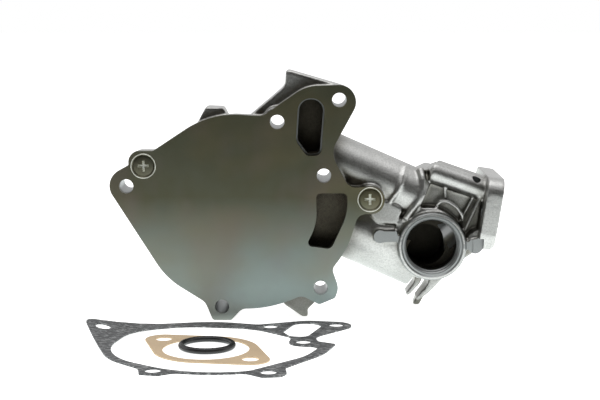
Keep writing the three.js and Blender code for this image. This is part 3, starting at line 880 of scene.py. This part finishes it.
# ------------------------------------------------------------------ plate, its gasket and screws
class PUMP_OT_back_plate(bpy.types.Operator):
    """Press the steel back plate with its slots, holes and countersinks, and cut its paper gasket"""

    bl_idname = "pump.back_plate"
    bl_label = "Back Plate"

    @staticmethod
    def lip(x, z):
        """The thin lip that the countersink throws up round a screw, made bright with a painted highlight."""
        steps, radius = 12, 0.3
        angles = [2 * math.pi * k / steps for k in range(steps)]
        section = [(SINK_R + radius * math.cos(a), 0.02 + radius * math.sin(a)) for a in angles]
        return place(lathe(section, ROUND), Matrix.Translation((x, 0, z)))

    def execute(self, context):
        settings = context.scene.pump_plate
        before, behind, sink_depth = -1, PLATE_T + 1, 3.9
        plate = slab(PLATE_OUTLINE, 0, PLATE_T, 0.8)
        tools = bolt_tools(BOLT_R, before, behind)
        tools += [slab(slot, before, behind, 0.7) for slot in (TOP_SLOT, CURVED_SLOT)]
        tools += [rod_y(x, z, SCREW_HOLE_R, before, behind, sides=48) for x, z in SCREWS.values()]
        cut(plate, tools)
        cut(plate, [rod_y(x, z, SINK_R + 0.5, -0.5, sink_depth, SCREW_HOLE_R, sides=64)
                    for x, z in SCREWS.values()])
        # The plate takes the zinc with its painted reflection, dark at the top and light at the foot.
        lined([plate], zinc_steel(settings.upper, settings.lower))
        # Painted highlight: the edge bevel takes the bright zinc in the second slot, a light line round the
        # dark plate.
        plate.data.materials.append(bright_zinc_and_painted_highlight())
        softened(plate, settings.edge / MM, 50, slot=1)
        # The lips take the bright zinc as a painted highlight round each screw.
        for x, z in SCREWS.values():
            combined(plate, lined([self.lip(x, z)], bright_zinc_and_painted_highlight()), "UNION")
        finished(plate, "pressed_plate", "housing", None, ["back_plate"], 15)

        paper = slab(inset(PLATE_OUTLINE, 0.5), PLATE_T, CASE_Y)
        front, back = 3, 6
        tools = bolt_tools(BOLT_R + 0.1, front, back)
        tools += [slab(inset(TOP_SLOT, -0.4), front, back), slab(MOUTH_OUTLINE, front, back)]
        tools += [rod_y(x, z, SCREW_HOLE_R, front, back) for x, z in SCREWS.values()]
        cut(paper, tools)
        finished(paper, "paper_gasket", "housing", oiled_card(context.scene.pump_seals.card),
                 ["plate_gasket"])
        return {"FINISHED"}


def cross_recess(x, z):
    """A tapered cross, wider at the head's face than at its foot."""
    signs = ((-1, -1), (1, -1), (1, 1), (-1, 1))
    levels = ((0.4, 1.06), (2.3, 0.62))
    thin, long = 1.6, 6.6

    def wing(width, length):
        bm = bmesh.new()
        rings = []
        for y, share in levels:
            w, h = width * share / 2, length * share / 2
            rings.append([bm.verts.new((x + sx * w, y, z + sz * h)) for sx, sz in signs])
        bm.faces.new(rings[0])
        bm.faces.new(rings[1][::-1])
        for k in range(4):
            j = (k + 1) % 4
            bm.faces.new((rings[0][j], rings[0][k], rings[1][k], rings[1][j]))
        return from_bmesh("wing", bm)
    return joined([wing(thin, long), wing(long, thin)])


class PUMP_OT_screws(bpy.types.Operator):
    """Turn in the two countersunk screws"""

    bl_idname = "pump.screws"
    bl_label = "Plate Screws"

    def execute(self, context):
        film = context.scene.pump_plate
        crest, root, pitch, end = 2.5, 2.2, 1.0, 17
        turns = 13
        for side, (x, z) in SCREWS.items():
            head = [(0, 0.75), (5.3, 0.8), (SCREW_HEAD_R - 0.1, 0.95), (SCREW_HEAD_R, 1.2), (2.9, 3.9)]
            starts = [4.4 + pitch * k for k in range(turns)]
            thread = [point for y in starts for point in ((crest, y), (root, y + pitch / 2))]
            screw = place(lathe([*head, *thread, (2.1, end), (0, end)], 64), Matrix.Translation((x, 0, z)))
            # The screw heads take the plate's zinc with its painted reflection, darker higher up.
            lined([screw], zinc_steel(film.upper, film.lower))
            # The cross recess takes the bright zinc: a painted glint inside each cross.
            cut(screw, lined([cross_recess(x, z)], bright_zinc_and_painted_highlight()))
            finished(screw, f"countersunk_screw_{side}", "housing", None,
                     [f"plate_screw_{side}"], 18)
        return {"FINISHED"}


# ------------------------------------------------------------------ rotor
def threaded(radius, y0, y1, pitch=1.25, depth=0.62):
    """A stud's profile with a cut thread, as (radius, y)."""
    root = radius - depth
    points = [(0, y0), (root, y0)]
    y = y0 + pitch * 0.48
    while y < y1 - pitch:
        points += [(root, y), (radius, y + pitch * 0.42), (radius, y + pitch * 0.55)]
        y += pitch
    return points + [(root, y1 - 0.7), (radius - 1.2, y1), (0, y1)]


class PUMP_OT_rotor(bpy.types.Operator):
    """Turn the pulley hub and its studs"""

    bl_idname = "pump.rotor"
    bl_label = "Rotor"

    def execute(self, context):
        bore, neck_y, back, face, end = 8.02, HUB_LOW.y, HUB_LOW.y + 4, HUB_HIGH.y - 3, HUB_HIGH.y
        hub = lathe([
            (bore, neck_y), (12.4, neck_y), (13, neck_y + 0.6), (13.5, neck_y + 2.8), (15, neck_y + 3.8),
            (34.4, back), (35, back + 0.6), (35, face - 0.6), (34.4, face), (17.6, face), (17, face + 0.5),
            (16.5, face + 2.5), (16, end), (9, end), (bore, end - 0.8)], 128)

        def stud_hole(angle):
            return about_shaft(rod_y(0, STUD_CIRCLE_R, 4.0, 80, 100), angle)
        cut(hub, around(STUDS, stud_hole, math.pi / 4))
        finished(hub, "pulley_hub", "rotor",
                 turned_steel("hub_steel", (0.34, 0.34, 0.35), 0.3), ["hub_flange"])
        radius, shoulder = 3.98, 97
        for number in range(1, STUDS + 1):
            node = f"hub_stud_{number}"
            low, high = low_high(node)
            stud = lathe([(0, low.y), (3.9, low.y), (radius, low.y + 0.3), (radius, shoulder),
                          (3.7, shoulder + 0.3), (0, shoulder + 0.3)], 40)
            joined([stud, lathe(threaded(3.95, shoulder, high.y), 40)])
            place(stud, Matrix.Translation(((low.x + high.x) / 2, 0, (low.z + high.z) / 2)))
            finished(stud, f"threaded_stud_{number}", "rotor", bright_zinc_and_painted_highlight(), [node], 30)
        return {"FINISHED"}


class PUMP_OT_inner_parts(bpy.types.Operator):
    """Give the bearing, the mechanical seal, the shaft and the impeller their finishes"""

    bl_idname = "pump.inner_parts"
    bl_label = "Inner Parts"

    def execute(self, context):
        finishes = {
            "ground_steel": turned_steel("ground_steel", (0.66, 0.67, 0.68), 0.18),
            "brass": plain_finish("brass", (0.66, 0.47, 0.2), 0.95, 0.28, 600),
            "rubber": black_rubber(),
            "carbon": plain_finish("carbon", (0.03, 0.03, 0.032), 0.0, 0.4, 900),
            "ceramic": plain_finish("ceramic", (0.85, 0.82, 0.75), 0.0, 0.22, 500),
            "cast_iron": plain_finish("cast_iron", (0.16, 0.155, 0.15), 0.85, 0.45, 700),
        }
        for row in frame["record"]["subparts"]:
            node = frame["nodes"][row["node"]]
            if not node.hide_render and row["material_slot"] in finishes:
                node.data.materials.clear()
                node.data.materials.append(finishes[row["material_slot"]])
        return {"FINISHED"}


# ------------------------------------------------------------------ loose seals
def laid_flat(piece, thickness, x, y, turn):
    """Lays an upright outline on the floor, its top away from the plate."""
    return place(
        piece, Matrix.Rotation(math.radians(-90), 4, "X"), Matrix.Translation((0, 0, thickness)),
        Matrix.Rotation(turn, 4, "Z"), Matrix.Translation((x, y, FLOOR_Z)))


class PUMP_OT_fibre_gasket(bpy.types.Operator):
    """Cut the fibre gasket and lay it on the floor with its long corner curled up"""

    bl_idname = "pump.fibre_gasket"
    bl_label = "Fibre Gasket"

    @staticmethod
    def curled(sheet, height):
        """Bends the long corner up: more towards its tip, and most along its upper side."""
        longest_edge, start, reach = 6, -34, 46
        bm = bmesh.new()
        bm.from_mesh(sheet.data)
        bmesh.ops.triangulate(bm, faces=bm.faces)
        long_edges = [edge for edge in bm.edges if edge.calc_length() > longest_edge]
        bmesh.ops.subdivide_edges(bm, edges=long_edges, cuts=3, use_grid_fill=True)
        for v in bm.verts:
            share = max(0.0, start - v.co.x) / reach
            v.co.y -= height * share ** 2 * (0.6 + 0.4 * max(0.0, v.co.z + 30) / 50)
        bm.to_mesh(sheet.data)
        bm.free()

    def execute(self, context):
        settings = context.scene.pump_seals
        thickness, below, above = 0.9, -1, 2
        # The plate's outline without its two screw lugs, which end and start at these corners of it.
        left_end, right_start, right_end = 4, 9, 14
        outline = [(-82.5, 15, 7), *PLATE_OUTLINE[left_end:right_start], (56.5, 21, 1.5), (67.5, 17.5, 2),
                   (66, -6, 50), *PLATE_OUTLINE[right_end:]]
        sheet = slab(inset(outline, 0.8), 0, thickness, 0.8)
        tools = bolt_tools(BOLT_R + 0.2, below, above)
        tools += [slab(inset(TOP_SLOT, -0.8), below, above), slab(FIBRE_MOUTH_OUTLINE, below, above)]
        cut(sheet, tools)
        self.curled(sheet, settings.curl / MM)
        laid_flat(sheet, thickness, -15, -62.5, math.radians(-14))
        finished(sheet, "fibre_gasket_sheet", "fibre_gasket", fibre_sheet(settings.fibre),
                 ["mounting_gasket"])
        return {"FINISHED"}


class PUMP_OT_card_gasket(bpy.types.Operator):
    """Cut the two-bolt card gasket"""

    bl_idname = "pump.card_gasket"
    bl_label = "Card Gasket"

    def execute(self, context):
        ear, ring, tip, thickness = 33.7, 29, 10.5, 0.8
        opening, bolt, below, above = 23.8, 4.6, -1, 2
        lean = math.acos((ring - tip) / ear)
        half_ring = math.pi / 2 - lean

        def arc(x, radius, middle, half, steps):
            angles = (middle - half + 2 * half * k / steps for k in range(steps + 1))
            return [(x + radius * math.cos(a), radius * math.sin(a)) for a in angles]
        outline = (arc(ear, tip, 0, lean, 24) + arc(0, ring, math.pi / 2, half_ring, 20)
                   + arc(-ear, tip, math.pi, lean, 24) + arc(0, ring, -math.pi / 2, half_ring, 20))
        sheet = prism(outline, 0, thickness)
        cut(sheet, [rod_y(0, 0, opening, below, above, sides=FINE), rod_y(ear, 0, bolt, below, above),
                    rod_y(-ear, 0, bolt, below, above)])
        softened(sheet, 0.12, 50, 1)
        laid_flat(sheet, thickness, -17.5, -72.5, math.radians(-41.9))
        finished(sheet, "card_gasket_sheet", "card_gasket",
                 oiled_card(context.scene.pump_seals.card), ["outlet_gasket"])
        return {"FINISHED"}


class PUMP_OT_rubber_ring(bpy.types.Operator):
    """Mould the O-ring, with the fine flash line of its mould"""

    bl_idname = "pump.rubber_ring"
    bl_label = "Rubber Ring"

    def execute(self, context):
        low, high = low_high("o_ring")
        section = (high.z - low.z) / 2
        middle = (high.x - low.x) / 2 - section
        steps, flash, sharpness = 40, 0.015, 60
        profile = []
        for angle in (2 * math.pi * k / steps for k in range(steps)):
            radius = section * (1 - flash + flash * abs(math.cos(angle)) ** sharpness)
            profile.append((middle + radius * math.cos(angle), radius * math.sin(angle)))
        lying = Matrix.Rotation(math.radians(90), 4, "X")
        ring = place(lathe(profile, 128), lying, Matrix.Translation((low + high) / 2))
        finished(ring, "rubber_o_ring", "rubber_ring", black_rubber(), ["o_ring"], 60)
        return {"FINISHED"}


# ------------------------------------------------------------------ stage
def stage_floor():
    """A pale floor: plain white to look at, and brightest near the pump for what the metal reflects."""
    half, floor_z = 6.0, FLOOR_Z * MM
    bm = bmesh.new()
    bm.faces.new([bm.verts.new((x, y, floor_z)) for x, y in
                  ((-half, -half), (half, -half), (half, half), (-half, half))])
    floor = from_bmesh("stage_floor", bm)

    def wire_up(f):
        seen = f.node("ShaderNodeLightPath", output=0)
        lit = f.spread(f.axis("y"), -0.75, -0.12, 0.02, 1.0)
        sheet = f.shader(
            Base_Color=f.blend(lit, grey(0.02), grey(0.9)), Roughness=1, Specular_IOR_Level=0,
            Emission_Color=f.blend(lit, grey(0), (0.93, 1, 0.98)), Emission_Strength=0.96)
        paper = f.shader(
            Base_Color=(0.9, 0.9, 0.9, 1), Roughness=1, Specular_IOR_Level=0, Emission_Color=(1, 1, 1, 1),
            Emission_Strength=0.86)
        both = f.node("ShaderNodeMixShader", {}, {0: seen, 1: sheet, 2: paper})
        f.node("ShaderNodeOutputMaterial", {}, {"Surface": both})
    floor.data.materials.append(new_material("stage_floor", wire_up))


def stage_world():
    """A white room whose front side is dark from the table up to the lights."""
    world = bpy.data.worlds.new("studio")
    bpy.context.scene.world = world
    world.use_nodes = True
    f = Finish(world.node_tree)
    front = f.spread(f.axis("y", GENERATED_COORDINATES), -0.3, 0.3, 1.0, 0.0)
    high = f.spread(f.axis("z", GENERATED_COORDINATES), 0.5, 0.85, 0.0, 1.0)
    seen = f.node("ShaderNodeLightPath", output=0)
    room = f.blend(front * (1 - high), grey(0.8), (0.025, 0.023, 0.0185))
    glow = f.node("ShaderNodeBackground", {}, {"Color": f.blend(seen, room, (1, 1, 1)), "Strength": 1})
    f.node("ShaderNodeOutputWorld", {}, {"Surface": glow})


def stage_light(name, place_at, aim_at, width, height, power):
    lamp = bpy.data.lights.new(name, "AREA")
    lamp.shape = "RECTANGLE"
    lamp.size, lamp.size_y, lamp.energy = width, height, power
    made = bpy.data.objects.new(name, lamp)
    made.location = place_at
    made.rotation_euler = (Vector(aim_at) - Vector(place_at)).to_track_quat("-Z", "Y").to_euler()
    bpy.context.scene.collection.objects.link(made)


class PUMP_OT_stage(bpy.types.Operator):
    """Set the pale floor, the studio lights and the camera"""

    bl_idname = "pump.stage"
    bl_label = "Stage"

    def execute(self, context):
        settings = context.scene.pump_stage
        stage_floor()
        stage_world()
        stage_light("top_softbox", (0.05, -0.1, 0.95), (0.03, 0, 0), 0.9, 0.7, 2.2)
        stage_light("left_softbox", (-0.9, 0.0, 0.35), (0.0, 0, 0), 0.5, 0.7, 0.9)
        stage_light("right_softbox", (0.95, -0.1, 0.3), (0.05, 0, 0), 0.5, 0.7, 0.9)

        target = Vector((34, 0, 3)) * MM  # the middle of the whole outline, in the plate's plane
        back = Vector((0, -math.cos(settings.pitch), math.sin(settings.pitch)))
        camera = bpy.data.cameras.new("camera")
        camera.lens = settings.lens
        camera.sensor_width = 36
        made = bpy.data.objects.new("camera", camera)
        made.location = target + back * settings.distance
        made.rotation_euler = (math.pi / 2 - settings.pitch, 0, 0)
        context.scene.collection.objects.link(made)
        context.scene.camera = made
        context.scene.view_settings.view_transform = "Standard"
        return {"FINISHED"}


# ------------------------------------------------------------------ add-on
PIECES = (
    PUMP_OT_casting, PUMP_OT_back_plate, PUMP_OT_screws, PUMP_OT_rotor, PUMP_OT_fibre_gasket,
    PUMP_OT_card_gasket, PUMP_OT_rubber_ring, PUMP_OT_inner_parts, PUMP_OT_stage,
)
SETTINGS = {
    "pump_casting": CastingSettings, "pump_plate": PlateSettings, "pump_seals": SealSettings,
    "pump_stage": StageSettings,
}


class PUMP_PT_panel(bpy.types.Panel):
    """Lists the pump's pieces and their settings"""

    bl_idname = "PUMP_PT_panel"
    bl_label = "Water Pump"
    bl_space_type = "VIEW_3D"
    bl_region_type = "UI"
    bl_category = "Pump"

    def draw(self, context):
        for group in SETTINGS:
            settings = getattr(context.scene, group)
            for name in settings.bl_rna.properties.keys():
                if name not in {"rna_type", "name"}:
                    self.layout.prop(settings, name)
        for piece in PIECES:
            self.layout.operator(piece.bl_idname)


def register():
    for cls in (*SETTINGS.values(), *PIECES, PUMP_PT_panel):
        bpy.utils.register_class(cls)
    for name, group in SETTINGS.items():
        setattr(bpy.types.Scene, name, PointerProperty(type=group))


def unregister():
    for name in SETTINGS:
        delattr(bpy.types.Scene, name)
    for cls in (PUMP_PT_panel, *reversed(PIECES), *reversed(SETTINGS.values())):
        bpy.utils.unregister_class(cls)


def main():
    register()
    for piece in PIECES:
        group, action = piece.bl_idname.split(".")
        getattr(getattr(bpy.ops, group), action)()


if __name__ == "__main__":
    main()
